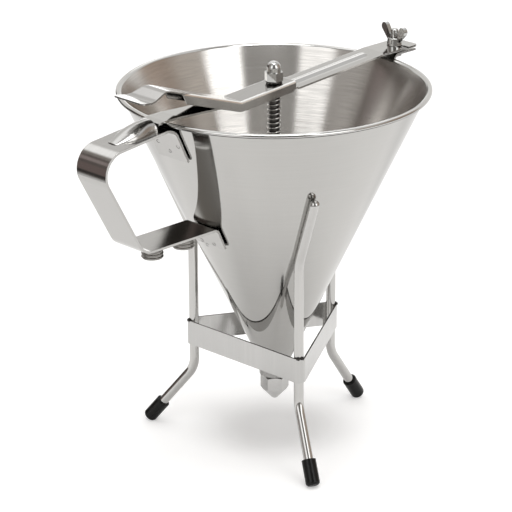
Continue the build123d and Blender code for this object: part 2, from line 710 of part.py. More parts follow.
def biarc(start, start_way, end, end_way):
    """Two tangent arcs from one point and direction to another."""
    chord = end - start
    ways = start_way + end_way
    spread = 2 * (1 - start_way.dot(end_way))
    along = chord.dot(ways)
    reach = (math.sqrt(along**2 + spread * chord.dot(chord)) - along) / spread
    first_corner = start + start_way * reach
    last_corner = end - end_way * reach
    middle = (first_corner + last_corner) * 0.5
    first = TangentArc(start, middle, tangent=start_way, mode=Mode.PRIVATE)
    last = TangentArc(middle, end, tangent=last_corner - first_corner, mode=Mode.PRIVATE)
    return [first, last]


down = Vector(0, 0, -1)
wire_top = coil_point(-COIL_TURN_IN, spring_top)
wire_bottom = coil_point(COIL_TURNS + COIL_TURN_IN, spring_bottom)
spans = biarc(wire_top + down * WIRE, down, coil_point(0, coil_top), coil_way(0))
for half in range(int(2 * COIL_TURNS)):
    ends = [half / 2, (half + 1) / 2]
    points = [coil_point(turns, coil_top - turns * coil_pitch) for turns in ends]
    spans += biarc(points[0], coil_way(ends[0]), points[1], coil_way(ends[1]))
coil_end = coil_point(COIL_TURNS, coil_top - COIL_TURNS * coil_pitch)
spans += biarc(coil_end, coil_way(COIL_TURNS), wire_bottom - down * WIRE, down)

with BuildPart() as return_spring:
    with BuildLine() as wire_line:
        Line(wire_top, wire_top + down * WIRE)
        add(spans)
        Line(wire_bottom - down * WIRE, wire_bottom)
    with BuildSketch(Plane(origin=wire_top, z_dir=down)):
        Circle(WIRE / 2)
    sweep(path=wire_line.wire())
export(return_spring.part, "return_spring")

# Least gap between one turn of the wire and another, and the tightest bend
wire_length = wire_line.wire().length
SAMPLES = 900
samples = [wire_line.wire().position_at(i / SAMPLES) for i in range(SAMPLES + 1)]
apart = int(4 * WIRE / wire_length * SAMPLES)
least = min(
    (samples[i] - samples[j]).length
    for i in range(SAMPLES + 1)
    for j in range(i + apart, SAMPLES + 1)
)
print(f"spring: least gap to itself {least - WIRE:.2f} mm")
print(f"spring: tightest bend {min(span.radius for span in spans):.2f} mm, wire {WIRE} mm")
wire_volume = math.pi * WIRE**2 / 4 * wire_length
print(f"spring: volume {return_spring.part.volume:.1f}, wire times length {wire_volume:.1f}")
print(f"lever: pivot at x {LEVER_PIVOT_X:.2f}, z {pivot_z:.3f}")
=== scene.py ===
"""Looks of a confectionery funnel on a wire stand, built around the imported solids, in metres."""

import math

import bmesh
import bpy
from mathutils import Matrix, Vector


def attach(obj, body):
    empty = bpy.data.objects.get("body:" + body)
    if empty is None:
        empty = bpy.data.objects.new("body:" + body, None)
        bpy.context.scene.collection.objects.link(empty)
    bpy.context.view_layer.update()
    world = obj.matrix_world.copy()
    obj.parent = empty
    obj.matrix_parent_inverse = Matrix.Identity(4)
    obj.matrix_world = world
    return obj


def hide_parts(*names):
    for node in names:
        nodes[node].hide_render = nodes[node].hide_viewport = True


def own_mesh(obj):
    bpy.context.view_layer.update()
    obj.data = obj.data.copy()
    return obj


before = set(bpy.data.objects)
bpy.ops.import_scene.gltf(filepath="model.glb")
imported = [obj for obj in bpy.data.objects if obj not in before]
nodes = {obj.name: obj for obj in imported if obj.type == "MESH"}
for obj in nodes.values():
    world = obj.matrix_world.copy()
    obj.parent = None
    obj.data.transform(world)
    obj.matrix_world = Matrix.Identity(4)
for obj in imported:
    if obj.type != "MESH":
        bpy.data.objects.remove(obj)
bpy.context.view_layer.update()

MM = 0.001

# Funnel cone and its rolled rim, millimetres and degrees
RIM_Z = 228.0
RIM_R = 95.0
ROLL_R = 1.3
ROLL_Z = 227.3
CONE_BOTTOM_Z = 51.0
CONE_BOTTOM_R = 9.4
CONE_TOP_R = 92.6
SHEET = 1.0
CONE_SLOPE = (CONE_TOP_R - CONE_BOTTOM_R) / (RIM_Z - CONE_BOTTOM_Z)
CONE_COS = math.cos(math.atan(CONE_SLOPE))
# Below this angle on the roll, its lower side takes painted shade
CREASE_ANGLE = -20.0
CONE_SEGMENTS = 288
WALL_STEPS = 24
ARC_STEPS = 14

# Places of the cone's looks in its list of materials; the crease look paints shade on the roll's lower side
INSIDE_LOOK, OUTSIDE_LOOK, RIM_LOOK, CREASE_LOOK = range(4)

# Return spring, millimetres
SPRING_TOP = 225.129
SPRING_BOTTOM = 172.02
WIRE = 1.1
COIL_R = 3.7
COIL_TURNS = 16.5
COIL_BEND = 1.7
COIL_TURN_IN = 0.07
BEND_REACH = 1.0
BEND_STEPS = 8
STEPS_PER_TURN = 28
WIRE_SIDES = 16

# A face of the wire keeps the plain wire steel where it points outward and not far down; the other faces take
# painted shade
BRIGHT_OUTWARD = 0.1
BRIGHT_UPWARD = -0.3
BRIGHT_LOOK, SHADE_LOOK = range(2)

# Weld beads on the stand, millimetres and degrees
LEG_ANGLES = (2, 122, 242)
LEG_CIRCLE_R = 51.6
BAND_TOP_Z = 73.3
BEAD_PATH_R = 3.5
BEAD_R = 0.9
BEAD_ENDS = ((-70, 0), (12, 72), (-60, 58))
BEAD_STEPS = 40
BEAD_SIDES = 14

# Thickness along a bead: part of a half wave for the taper, then size, rate and shift of the lumps
TAPER_START = 0.12
TAPER_SPAN = 0.76
TAPER_POWER = 0.5
BEAD_LUMPS = ((0.26, 15, 1), (0.14, 37, 2))

# Spot weld marks on the handle's tabs, millimetres and degrees
TAB_FACE = 1.55
SPOT_R = 1.15
SPOT_LINE = 0.11
SPOT_SWEEP = 290
SPOT_STEPS = 28
SPOT_SIDES = 8

# Distance from the tab's middle, height, and the angle where the ring starts
SPOT_PLACES = {
    "spot_welds_upper": ((8.0, 212.3, 200), (0.3, 207.5, 60), (-9.4, 212.8, 150)),
    "spot_welds_lower": ((6.7, 142.6, 30), (3.2, 140.2, 240), (-4.0, 142.9, 100)),
}

# Largest angle between faces that are shaded as one, degrees
SMOOTH_ANGLE = 40
WELD_SMOOTH_ANGLE = 60

# Camera, fitted to the photograph
CAMERA_PLACE = (-1.098378, -1.118516, 0.709212)
CAMERA_RIGHT = (0.717343, -0.696707, -0.004386)
CAMERA_UP = (0.248139, 0.249596, 0.936018)
CAMERA_LENS = 191.81
CAMERA_SENSOR = 36.0
CAMERA_CLIP_START = 0.05
CAMERA_CLIP_END = 50.0

# Soft lamp above the object
LAMP_PLACE = (-0.05, -0.22, 3.0)
LAMP_AIM = (0, 0, 0.1)
LAMP_SIZE = 1.3
LAMP_POWER = 42.0

# Sockets of the mix node that carry colours
MIX_SHARE, MIX_FIRST, MIX_SECOND, MIX_RESULT = 0, 6, 7, 2

# Keeps the grain's coordinates finite on the axis, metres
LEAST_RADIUS = 0.0001


class Graph:
    """Short calls for building one node tree."""

    def __init__(self, tree):
        self.tree = tree
        tree.nodes.clear()

    def add(self, kind, values=(), **settings):
        """A new node; each of its inputs takes a value or a link."""
        node = self.tree.nodes.new(kind)
        for name, value in settings.items():
            setattr(node, name, value)
        for name, value in dict(values).items():
            self.feed(node.inputs[name], value)
        return node

    def feed(self, target, value):
        if isinstance(value, bpy.types.NodeSocket):
            self.tree.links.new(value, target)
        else:
            target.default_value = value

    def close(self, shader, kind="ShaderNodeOutputMaterial"):
        """Lead a shader to the tree's output."""
        self.add(kind, {"Surface": shader.outputs[0]})

    def math(self, operation, first, second=0.0):
        return self.add("ShaderNodeMath", {0: first, 1: second}, operation=operation).outputs[0]

    def ramp(self, value, limits, start=0.0, end=1.0):
        """A value moved smoothly from the range between two limits to another range."""
        low, high = limits
        values = {"Value": value, "From Min": low, "From Max": high, "To Min": start, "To Max": end}
        return self.add("ShaderNodeMapRange", values, interpolation_type="SMOOTHSTEP").outputs[0]

    def blend(self, share, first, second):
        """A colour between two colours."""
        values = {MIX_SHARE: share, MIX_FIRST: first, MIX_SECOND: second}
        return self.add("ShaderNodeMix", values, data_type="RGBA").outputs[MIX_RESULT]

    def noise(self, vector, scale, detail, roughness):
        values = {"Vector": vector, "Scale": scale, "Detail": detail, "Roughness": roughness}
        return self.add("ShaderNodeTexNoise", values).outputs["Fac"]

    def place(self):
        return self.add("ShaderNodeTexCoord").outputs["Object"]

    def measure(self, operation, vector):
        """A number from the place on the piece and a vector."""
        values = {0: self.place(), 1: vector}
        return self.add("ShaderNodeVectorMath", values, operation=operation).outputs["Value"]

    def stretched(self, stretch):
        """Coordinates drawn out along the grain: a small factor gives long streaks."""
        return self.add("ShaderNodeMapping", {"Vector": self.place(), "Scale": stretch}).outputs[0]

    def turned(self, along, across):
        """Coordinates for a grain that runs around the Z axis."""
        x, y, z = self.add("ShaderNodeSeparateXYZ", {0: self.place()}).outputs
        square = self.math("ADD", self.math("MULTIPLY", x, x), self.math("MULTIPLY", y, y))
        radius = self.math("MAXIMUM", self.math("SQRT", square), LEAST_RADIUS)
        level = self.math("MULTIPLY", self.math("ADD", z, radius), across)
        east = self.math("MULTIPLY", self.math("DIVIDE", x, radius), along)
        north = self.math("MULTIPLY", self.math("DIVIDE", y, radius), along)
        return self.add("ShaderNodeCombineXYZ", {0: east, 1: north, 2: level}).outputs[0]


def rgba(red, green, blue):
    return (red, green, blue, 1.0)


def grey(tone):
    return rgba(tone, tone, tone)


def new_material(name):
    """An empty material and the graph that fills it."""
    material = bpy.data.materials.new(name)
    material.use_nodes = True
    return material, Graph(material.node_tree)


# Noises: scale, detail and roughness
LINE_NOISE = (1.0, 3.0, 0.6)
PATCH_NOISE = (22.0, 2.0, 0.5)
WAVE_NOISE = (38.0, 1.0, 0.4)
RIPPLE_NOISE = (240.0, 3.0, 0.5)
SPECK_NOISE = (2600.0, 2.0, 0.5)
FLOOR_NOISE = (60.0, 2.0, 0.5)

# The part of a noise that is spread from zero to one
NOISE_LIMITS = (0.3, 0.7)
FULL_LIMITS = (0.0, 1.0)

# Steel: shares of lines and patches in its tone, depth of a line in metres
LINE_SHARE = 0.6
PATCH_SHARE = 0.4
LINE_DEPTH = 0.00002
WAVE_STRENGTH = 1.0
EDGE_SAMPLES = 4
QUARTER_TURN = 0.25

# How far a face points up for the painted shade on a level edge, and sideways and up for the painted
# highlight on a bend
EDGE_SHADE_LIMITS = (0.7, 0.9)
GLEAM_SIDE_LIMITS = (0.1, 0.3)
GLEAM_TOP_LIMITS = (0.15, 0.35)

# Black caps: share of the specks in the relief, its strength and its depth in metres, and the gloss
SPECK_SHARE = 0.2
CAP_BUMP = 0.4
CAP_DEPTH = 0.0003
CAP_SPECULAR = 0.2


def grain_lines(graph, kind, along, across):
    """Fine lines that run around the Z axis, or along the axes named in kind."""
    if kind == "turned":
        vector = graph.turned(along, across)
    else:
        vector = graph.stretched([along if axis in kind else across for axis in "xyz"])
    return graph.ramp(graph.noise(vector, *LINE_NOISE), NOISE_LIMITS)


def grain_tone(graph, lines):
    """Lines and soft patches together, from zero to one."""
    patches = graph.ramp(graph.noise(graph.place(), *PATCH_NOISE), NOISE_LIMITS)
    lines = graph.math("MULTIPLY", lines, LINE_SHARE)
    return graph.math("ADD", lines, graph.math("MULTIPLY", patches, PATCH_SHARE))


def with_painted_light(graph, tint, painted_edge_shade, painted_highlight):
    """Painted shade on level edges, or a painted highlight on bends that lean both sideways and up."""
    normal = graph.add("ShaderNodeNewGeometry").outputs["True Normal"]
    facing = graph.add("ShaderNodeSeparateXYZ", {0: normal}).outputs
    upward = graph.math("ABSOLUTE", facing[2])
    if painted_edge_shade:
        tint = graph.blend(graph.ramp(upward, EDGE_SHADE_LIMITS), tint, rgba(*painted_edge_shade))
    if painted_highlight:
        sideways = graph.math("ABSOLUTE", facing[1])
        side_share = graph.ramp(sideways, GLEAM_SIDE_LIMITS)
        top_share = graph.ramp(upward, GLEAM_TOP_LIMITS)
        tint = graph.blend(graph.math("MINIMUM", side_share, top_share), tint, rgba(*painted_highlight))
    return tint


def steel_normal(graph, lines, bump, edge, wave):
    """Relief of the grain, with softened edges and slow waves where they are asked for."""
    relief = {"Height": lines, "Strength": bump, "Distance": LINE_DEPTH}
    if edge:
        relief["Normal"] = graph.add("ShaderNodeBevel", {"Radius": edge}, samples=EDGE_SAMPLES).outputs[0]
    normal = graph.add("ShaderNodeBump", relief).outputs[0]
    if wave:
        swell = graph.noise(graph.place(), *WAVE_NOISE)
        relief = {"Height": swell, "Strength": WAVE_STRENGTH, "Distance": wave, "Normal": normal}
        normal = graph.add("ShaderNodeBump", relief).outputs[0]
    return normal


def brush_around(graph, shader, anisotropy):
    """Draw the shine out across a grain that runs around the Z axis."""
    shader.inputs["Anisotropic"].default_value = anisotropy
    shader.inputs["Anisotropic Rotation"].default_value = QUARTER_TURN
    tangent = graph.add("ShaderNodeTangent", direction_type="RADIAL", axis="Z")
    graph.feed(shader.inputs["Tangent"], tangent.outputs[0])


def steel(
    name, colour, rough, grain,
    shade=0.05, bump=0.06, wave=0.0, edge=0.0, anisotropy=0.0, painted_edge_shade=None, painted_highlight=None,
):
    """Brushed or polished steel: fine lines and soft patches colour it, roughen it and bend its shine."""
    material, graph = new_material(name)
    lines = grain_lines(graph, *grain)
    tone = grain_tone(graph, lines)
    dark = rgba(*(value * (1 - shade) for value in colour))
    light = rgba(*(value * (1 + shade) for value in colour))
    tint = graph.blend(tone, dark, light)
    if painted_edge_shade or painted_highlight:
        tint = with_painted_light(graph, tint, painted_edge_shade, painted_highlight)
    values = {
        "Base Color": tint,
        "Metallic": 1.0,
        "Roughness": graph.ramp(tone, FULL_LIMITS, rough[1], rough[0]),
        "Normal": steel_normal(graph, lines, bump, edge, wave),
    }
    shader = graph.add("ShaderNodeBsdfPrincipled", values)
    if anisotropy:
        brush_around(graph, shader, anisotropy)
    graph.close(shader)
    return material


def rubber(name, light, dark, rough):
    """Dipped black cap: soft gloss with faint ripples."""
    material, graph = new_material(name)
    ripples = graph.noise(graph.place(), *RIPPLE_NOISE)
    specks = graph.noise(graph.place(), *SPECK_NOISE)
    height = graph.math("ADD", ripples, graph.math("MULTIPLY", specks, SPECK_SHARE))
    relief = {"Height": height, "Strength": CAP_BUMP, "Distance": CAP_DEPTH}
    values = {
        "Base Color": graph.blend(ripples, rgba(*dark), rgba(*light)),
        "Roughness": graph.ramp(ripples, NOISE_LIMITS, *rough),
        "Normal": graph.add("ShaderNodeBump", relief).outputs[0],
        "Specular IOR Level": CAP_SPECULAR,
    }
    graph.close(graph.add("ShaderNodeBsdfPrincipled", values))
    return material


# Grains: the way they run, then the scale of their noise along it and across it
BAR_GRAIN = ("x", 20.0, 1300.0)
STRAP_GRAIN = ("xz", 20.0, 1300.0)
ROD_GRAIN = ("z", 20.0, 1500.0)
WIRE_GRAIN = ("z", 300.0, 1400.0)
BAND_GRAIN = ("z", 12.0, 700.0)
CHROME_GRAIN = ("z", 60.0, 700.0)
WELD_GRAIN = ("xyz", 900.0, 900.0)
OUTSIDE_GRAIN = ("turned", 2.0, 700.0)
INSIDE_GRAIN = ("turned", 4.0, 1300.0)
RIM_GRAIN = ("turned", 3.0, 700.0)
LATHE_GRAIN = ("turned", 3.0, 2600.0)
COLLAR_GRAIN = ("turned", 6.0, 2600.0)

# Radius of softened edges and height of slow waves, metres
SOFT_EDGE = 0.0003
ROUND_EDGE = 0.0005
SLOW_WAVE = 0.00004
CHROME_WAVE = 0.00005

CONE_OUTSIDE = steel(
    "polished_cone", (0.485, 0.479, 0.464), (0.045, 0.08), OUTSIDE_GRAIN,
    shade=0.02, bump=0.02, wave=SLOW_WAVE,
)
CONE_INSIDE = steel(
    "brushed_cone", (0.58, 0.563, 0.54), (0.19, 0.25), INSIDE_GRAIN,
    shade=0.12, bump=0.12, anisotropy=0.97,
)
RIM = steel("rolled_rim", (0.56, 0.555, 0.54), (0.07, 0.12), RIM_GRAIN, shade=0.03, bump=0.03)
STRAP = steel("strap_steel", (0.455, 0.448, 0.435), (0.11, 0.17), STRAP_GRAIN, shade=0.03, edge=SOFT_EDGE)
# The lever's bends that lean sideways and up take a near-white painted highlight
LEVER = steel(
    "lever_steel", (0.43, 0.423, 0.41), (0.09, 0.14), BAR_GRAIN,
    shade=0.04, edge=ROUND_EDGE, painted_highlight=(0.96, 0.95, 0.93),
)
BAR = steel("bar_steel", (0.505, 0.498, 0.483), (0.05, 0.09), BAR_GRAIN, shade=0.03, edge=SOFT_EDGE)
# The band's level edges take a near-black painted shade
BAND = steel(
    "band_steel", (0.495, 0.49, 0.48), (0.10, 0.16), BAND_GRAIN,
    shade=0.04, edge=SOFT_EDGE, painted_edge_shade=(0.07, 0.065, 0.06),
)
ROD = steel("drawn_rod", (0.52, 0.513, 0.50), (0.07, 0.13), ROD_GRAIN, shade=0.04, wave=SLOW_WAVE)
TURNED = steel("turned_steel", (0.55, 0.545, 0.535), (0.16, 0.24), LATHE_GRAIN, shade=0.06, bump=0.1)
THREAD = steel("thread_steel", (0.30, 0.29, 0.275), (0.18, 0.28), LATHE_GRAIN, shade=0.12, bump=0.15)
COLLAR = steel("collar_steel", (0.34, 0.335, 0.325), (0.22, 0.32), COLLAR_GRAIN, shade=0.12, bump=0.2)
CHROME = steel("bright_chrome", (0.50, 0.50, 0.49), (0.04, 0.08), CHROME_GRAIN, shade=0.03, wave=CHROME_WAVE)
# Near-black steel: painted shade between the spring's coils on the plunger rod, and under the acorn nut on
# its washer
PAINTED_SHADE_ROD = steel("painted_shade_rod", (0.11, 0.105, 0.10), (0.20, 0.30), ROD_GRAIN, shade=0.10, bump=0.1)
# Near-black steel: painted shade on the rolled rim's lower side, where it meets the cone
PAINTED_CREASE_SHADE = steel("painted_crease_shade", (0.03, 0.029, 0.028), (0.25, 0.40), LATHE_GRAIN, shade=0.15, bump=0.1)
WIRE_STEEL = steel("spring_wire", (0.58, 0.57, 0.55), (0.14, 0.24), WIRE_GRAIN, shade=0.10)
# Near-black copy of the wire's steel: painted shade on the wire's inner and lower faces
PAINTED_WIRE_SHADE = steel("spring_wire_painted_shade", (0.03, 0.029, 0.028), (0.25, 0.40), WIRE_GRAIN, shade=0.15)
PRESSED = steel("pressed_steel", (0.455, 0.448, 0.435), (0.17, 0.24), STRAP_GRAIN, shade=0.03, edge=SOFT_EDGE)
WELD = steel("weld_scale", (0.045, 0.042, 0.04), (0.25, 0.45), WELD_GRAIN, shade=0.6, bump=0.5)
CAP = rubber("black_cap", (0.009, 0.009, 0.009), (0.005, 0.005, 0.005), (0.14, 0.26))

NODE_LOOKS = {
    "handle": STRAP,
    "bridge_pocket": PRESSED,
    "rear_bracket": STRAP,
    "crossbar": BAR,
    "thumb_lever": LEVER,
    "stand_band": BAND,
    "outlet_spout": COLLAR,
    "nozzle": TURNED,
    "nozzle_stud_1": THREAD,
    "nozzle_stud_2": THREAD,
    # The plunger rod and the nut's washer take painted shade
    "plunger_rod": PAINTED_SHADE_ROD,
    "spring_seat": TURNED,
    "nut_washer": PAINTED_SHADE_ROD,
    "spring_pin": WIRE_STEEL,
    "acorn_nut": CHROME,
    "wing_nut": CHROME,
    "bridge_bolt": CHROME,
    "bolt_nut": CHROME,
    "leg_1": ROD,
    "leg_2": ROD,
    "leg_3": ROD,
    "foot_cap_1": CAP,
    "foot_cap_2": CAP,
    "foot_cap_3": CAP,
}


def dress(name, material):
    """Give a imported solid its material."""
    solid = nodes[name]
    solid.data.materials.clear()
    solid.data.materials.append(material)


def mesh_piece(name, build, materials):
    """A new mesh object from a function that fills a bmesh."""
    mesh = bpy.data.meshes.new(name)
    form = bmesh.new()
    build(form)
    bmesh.ops.recalc_face_normals(form, faces=form.faces)
    form.to_mesh(mesh)
    form.free()
    for material in materials:
        mesh.materials.append(material)
    piece = bpy.data.objects.new(name, mesh)
    bpy.context.scene.collection.objects.link(piece)
    return piece


def smooth(piece, degrees):
    """Smooth shading up to an angle between faces."""
    piece.data.shade_smooth()
    piece.data.set_sharp_from_angle(angle=math.radians(degrees))


def join_rings(form, ring, following, look=0):
    """Four-sided faces between two rings of points."""
    count = len(ring)
    for step in range(count):
        ahead = (step + 1) % count
        face = form.faces.new((ring[step], ring[ahead], following[ahead], following[step]))
        face.material_index = look


def cone_r(height, outward=0.0):
    """Radius of the cone's outer face at a height, or of a face beside it."""
    return CONE_BOTTOM_R + (height - CONE_BOTTOM_Z) * CONE_SLOPE + outward / CONE_COS


def arc(centre, radius, start, end, steps):
    """Points along an arc, as radius and height."""
    points = []
    for step in range(steps + 1):
        turn = math.radians(start + (end - start) * step / steps)
        points.append((centre[0] + radius * math.cos(turn), centre[1] + radius * math.sin(turn)))
    return points


def lip_arc(start, end):
    """Arc that leaves the cone's inner face along its slope and ends at a point."""
    chord = (end[0] - start[0], end[1] - start[1])
    side = (CONE_COS, -CONE_SLOPE * CONE_COS)
    bend_r = (chord[0] ** 2 + chord[1] ** 2) / (2 * (chord[0] * side[0] + chord[1] * side[1]))
    centre = (start[0] + side[0] * bend_r, start[1] + side[1] * bend_r)
    first = math.degrees(math.atan2(start[1] - centre[1], start[0] - centre[0]))
    last = math.degrees(math.atan2(end[1] - centre[1], end[0] - centre[0]))
    return arc(centre, bend_r, first, last, ARC_STEPS)


def wall(start, end, outward, look):
    """Points along a straight face of the cone, from one height to another."""
    points = []
    for step in range(WALL_STEPS + 1):
        height = start + (end - start) * step / WALL_STEPS
        points.append((cone_r(height, outward), height, look))
    return points


def cone_profile():
    """Outline of the cone's sheet, each point with the look of the face that starts there."""
    roll_centre = (RIM_R - ROLL_R, ROLL_Z)
    inside_top = (cone_r(ROLL_Z, -SHEET), ROLL_Z)
    lip = lip_arc(inside_top, (roll_centre[0], ROLL_Z + ROLL_R))
    roll = arc(roll_centre, ROLL_R, 90, -90, 2 * ARC_STEPS)
    # The roll's faces below this height take painted shade
    crease_z = ROLL_Z + ROLL_R * math.sin(math.radians(CREASE_ANGLE))
    profile = wall(CONE_BOTTOM_Z, ROLL_Z, -SHEET, INSIDE_LOOK)[:-1]
    profile += [(r, z, RIM_LOOK) for r, z in lip[:-1]]
    profile += [(r, z, RIM_LOOK if z > crease_z else CREASE_LOOK) for r, z in roll]
    return profile + wall(ROLL_Z - ROLL_R, CONE_BOTTOM_Z, 0.0, OUTSIDE_LOOK)


def turn_cone(form):
    """Turn the cone's closed outline around the Z axis."""
    profile = cone_profile()
    rings = []
    for r, z, _ in profile:
        ring = []
        for step in range(CONE_SEGMENTS):
            turn = 2 * math.pi * step / CONE_SEGMENTS
            ring.append(form.verts.new((r * MM * math.cos(turn), r * MM * math.sin(turn), z * MM)))
        rings.append(ring)
    for index, (_, _, look) in enumerate(profile):
        join_rings(form, rings[index], rings[(index + 1) % len(rings)], look)


def coil_point(turns, height):
    """Point on the coil's middle cylinder."""
    angle = 2 * math.pi * turns
    return Vector((COIL_R * math.sin(angle), COIL_R * math.cos(angle), height))


def coil_way(turns, pitch):
    """Direction of the wire along the coil, downward."""
    angle = 2 * math.pi * turns
    way = Vector((COIL_R * math.cos(angle), -COIL_R * math.sin(angle), -pitch / (2 * math.pi)))
    return way.normalized()


def bezier(start, start_way, end, end_way):
    """Points from one point and direction to another, without the last point."""
    corners = [start, start + start_way * BEND_REACH, end - end_way * BEND_REACH, end]
    points = []
    for step in range(BEND_STEPS):
        t = step / BEND_STEPS
        weights = ((1 - t) ** 3, 3 * t * (1 - t) ** 2, 3 * t * t * (1 - t), t ** 3)
        points.append(sum((c * w for c, w in zip(corners, weights)), Vector()))
    return points


def spring_line():
    """Middle line of the spring's wire, from its upper end to its lower end."""
    down = Vector((0, 0, -1))
    top = SPRING_TOP - WIRE - COIL_BEND
    bottom = SPRING_BOTTOM + WIRE + COIL_BEND
    pitch = (top - bottom) / COIL_TURNS
    wire_top = coil_point(-COIL_TURN_IN, SPRING_TOP)
    wire_bottom = coil_point(COIL_TURNS + COIL_TURN_IN, SPRING_BOTTOM)
    line = [wire_top]
    line += bezier(wire_top + down * WIRE, down, coil_point(0, top), coil_way(0, pitch))
    steps = int(COIL_TURNS * STEPS_PER_TURN)
    for step in range(steps):
        turns = COIL_TURNS * step / steps
        line.append(coil_point(turns, top - turns * pitch))
    last = coil_point(COIL_TURNS, bottom)
    line += bezier(last, coil_way(COIL_TURNS, pitch), wire_bottom - down * WIRE, down)
    line += [wire_bottom - down * WIRE, wire_bottom]
    return line


def tube(form, line, radii, sides):
    """A round wire along a line of points, with a radius at each point, closed at both ends."""
    rings = []
    across = Vector((1, 0, 0))
    for index, (point, radius) in enumerate(zip(line, radii)):
        before = line[max(index - 1, 0)]
        after = line[min(index + 1, len(line) - 1)]
        way = (after - before).normalized()
        across = (across - way * across.dot(way)).normalized()
        other = way.cross(across)
        ring = []
        for side in range(sides):
            turn = 2 * math.pi * side / sides
            place = point + (across * math.cos(turn) + other * math.sin(turn)) * radius
            ring.append(form.verts.new(place * MM))
        rings.append(ring)
    for ring, following in zip(rings, rings[1:]):
        join_rings(form, ring, following)
    form.faces.new(rings[0])
    form.faces.new(rings[-1])


def wind_spring(form):
    """The spring's wire, plain steel on its outer and upper side and painted shade elsewhere."""
    line = spring_line()
    tube(form, line, [WIRE / 2] * len(line), WIRE_SIDES)
    bmesh.ops.recalc_face_normals(form, faces=form.faces)
    for face in form.faces:
        middle = face.calc_center_median()
        outward = Vector((middle.x, middle.y, 0)).normalized()
        bright = face.normal.dot(outward) > BRIGHT_OUTWARD and face.normal.z > BRIGHT_UPWARD
        face.material_index = BRIGHT_LOOK if bright else SHADE_LOOK


def bow(centre, east, north, radius, start, end, steps):
    """Points along an arc in the plane of two directions."""
    points = []
    for step in range(steps + 1):
        turn = math.radians(start + (end - start) * step / steps)
        points.append(centre + (east * math.cos(turn) + north * math.sin(turn)) * radius)
    return points


def bead_radius(share, angle):
    """Uneven radius along a bead, thinner towards its ends."""
    taper = math.sin(math.pi * (TAPER_START + TAPER_SPAN * share)) ** TAPER_POWER
    lump = 1 + sum(size * math.sin(rate * share + shift * angle) for size, rate, shift in BEAD_LUMPS)
    return BEAD_R * taper * lump


def weld_bead(form, angle, ends):
    """Lumpy bead of weld on the band's upper edge, around the outer side of a leg."""
    turn = math.radians(angle)
    centre = Vector((LEG_CIRCLE_R * math.cos(turn), LEG_CIRCLE_R * math.sin(turn), BAND_TOP_Z))
    outward = Vector((math.cos(turn), math.sin(turn), 0))
    aside = Vector((-math.sin(turn), math.cos(turn), 0))
    line = bow(centre, outward, aside, BEAD_PATH_R, ends[0], ends[1], BEAD_STEPS)
    radii = [bead_radius(step / BEAD_STEPS, angle) for step in range(BEAD_STEPS + 1)]
    tube(form, line, radii, BEAD_SIDES)


def spot_marks(form, places):
    """Rings that the spot welds left on a tab of the handle."""
    north = Vector((-CONE_SLOPE * CONE_COS, 0, CONE_COS))
    east = Vector((0, 1, 0))
    for aside, height, start in places:
        centre = Vector((-cone_r(height, TAB_FACE), aside, height))
        line = bow(centre, east, north, SPOT_R, start, start + SPOT_SWEEP, SPOT_STEPS)
        tube(form, line, [SPOT_LINE] * len(line), SPOT_SIDES)


for node_name, node_material in NODE_LOOKS.items():
    dress(node_name, node_material)

# Funnel cone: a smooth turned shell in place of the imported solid
cone = mesh_piece("cone_shell", turn_cone, [CONE_INSIDE, CONE_OUTSIDE, RIM, PAINTED_CREASE_SHADE])
smooth(cone, SMOOTH_ANGLE)
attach(cone, "funnel")
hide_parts("funnel_cone")

# Return spring: a wound wire, which the rising plunger squeezes towards the crossbar; here it only gets a
# mesh of its own
spring = mesh_piece("spring_coil", wind_spring, [WIRE_STEEL, PAINTED_WIRE_SHADE])
smooth(spring, SMOOTH_ANGLE)
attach(spring, "funnel")
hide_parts("return_spring")
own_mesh(spring)

# Weld beads where the band meets the legs
for number, (angle, ends) in enumerate(zip(LEG_ANGLES, BEAD_ENDS), start=1):
    bead = mesh_piece(f"weld_bead_{number}", lambda form: weld_bead(form, angle, ends), [WELD])
    smooth(bead, WELD_SMOOTH_ANGLE)
    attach(bead, "stand")

# Spot weld marks on the handle's tabs
for name, places in SPOT_PLACES.items():
    marks = mesh_piece(name, lambda form: spot_marks(form, places), [WELD])
    smooth(marks, WELD_SMOOTH_ANGLE)
    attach(marks, "funnel")

